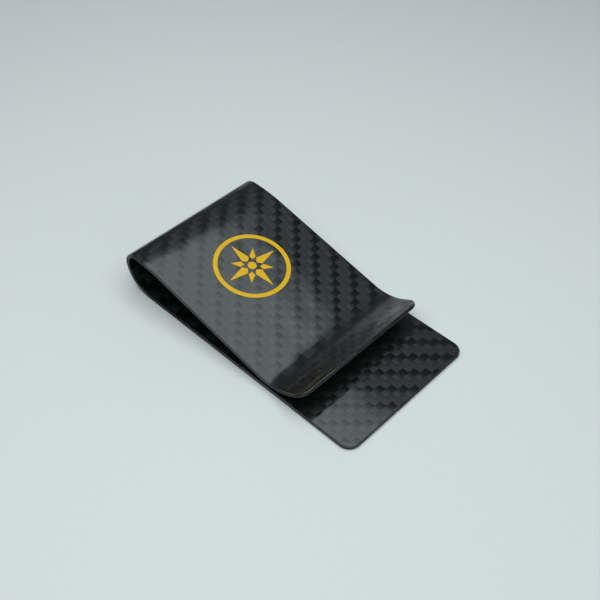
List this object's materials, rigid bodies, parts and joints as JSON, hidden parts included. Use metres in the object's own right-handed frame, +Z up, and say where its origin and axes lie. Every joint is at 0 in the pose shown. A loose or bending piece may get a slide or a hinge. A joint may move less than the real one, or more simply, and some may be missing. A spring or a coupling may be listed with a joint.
{
  "type": "money clip",
  "caption": "Spring clip bent from a strip of carbon laminate that pinches folded banknotes between its arms, with a round printed emblem on the upper arm.",
  "frame": {"origin": "on the surface that the clip lies on, under the middle of its outline", "axes": "+X from the back of the bend to the tip of the lower arm, +Y across the clip, +Z up"},
  "size_m": [0.0734, 0.04, 0.0115],
  "materials": {
    "clear_coat": "high gloss clear epoxy over black carbon",
    "carbon_twill": "2 by 2 twill of black carbon tows in epoxy",
    "carbon_core": "black carbon plies in epoxy, seen only at the cut edge",
    "gold_print": "gold ink"
  },
  "bodies": {
    "lower_arm": {"lower_arm_outer_coat": "clear_coat", "lower_arm_outer_twill": "carbon_twill", "lower_arm_outer_core": "carbon_core", "lower_arm_inner_core": "carbon_core", "lower_arm_inner_twill": "carbon_twill", "lower_arm_inner_coat": "clear_coat"},
    "bend": {"bend_outer_coat": "clear_coat", "bend_outer_twill": "carbon_twill", "bend_outer_core": "carbon_core", "bend_inner_core": "carbon_core", "bend_inner_twill": "carbon_twill", "bend_inner_coat": "clear_coat"},
    "upper_arm": {"upper_arm_outer_coat": "clear_coat", "upper_arm_outer_twill": "carbon_twill", "upper_arm_outer_core": "carbon_core", "upper_arm_inner_core": "carbon_core", "upper_arm_inner_twill": "carbon_twill", "upper_arm_inner_coat": "clear_coat", "emblem_ring": "gold_print", "emblem_long_points": "gold_print", "emblem_short_points": "gold_print", "emblem_dot": "gold_print"}
  },
  "joints": [
    {"name": "lower_bend_flex", "type": "hinge", "parent": "lower_arm", "child": "bend", "pos_m": [-0.0345, 0, 0.0022], "axis": [0, -1, 0], "range_deg": [0, 3.5], "stiffness_Nm_per_rad": 8},
    {"name": "upper_bend_flex", "type": "hinge", "parent": "bend", "child": "upper_arm", "pos_m": [-0.03553, 0, 0.01033], "axis": [0, -1, 0], "range_deg": [0, 3.5], "stiffness_Nm_per_rad": 8}
  ]
}
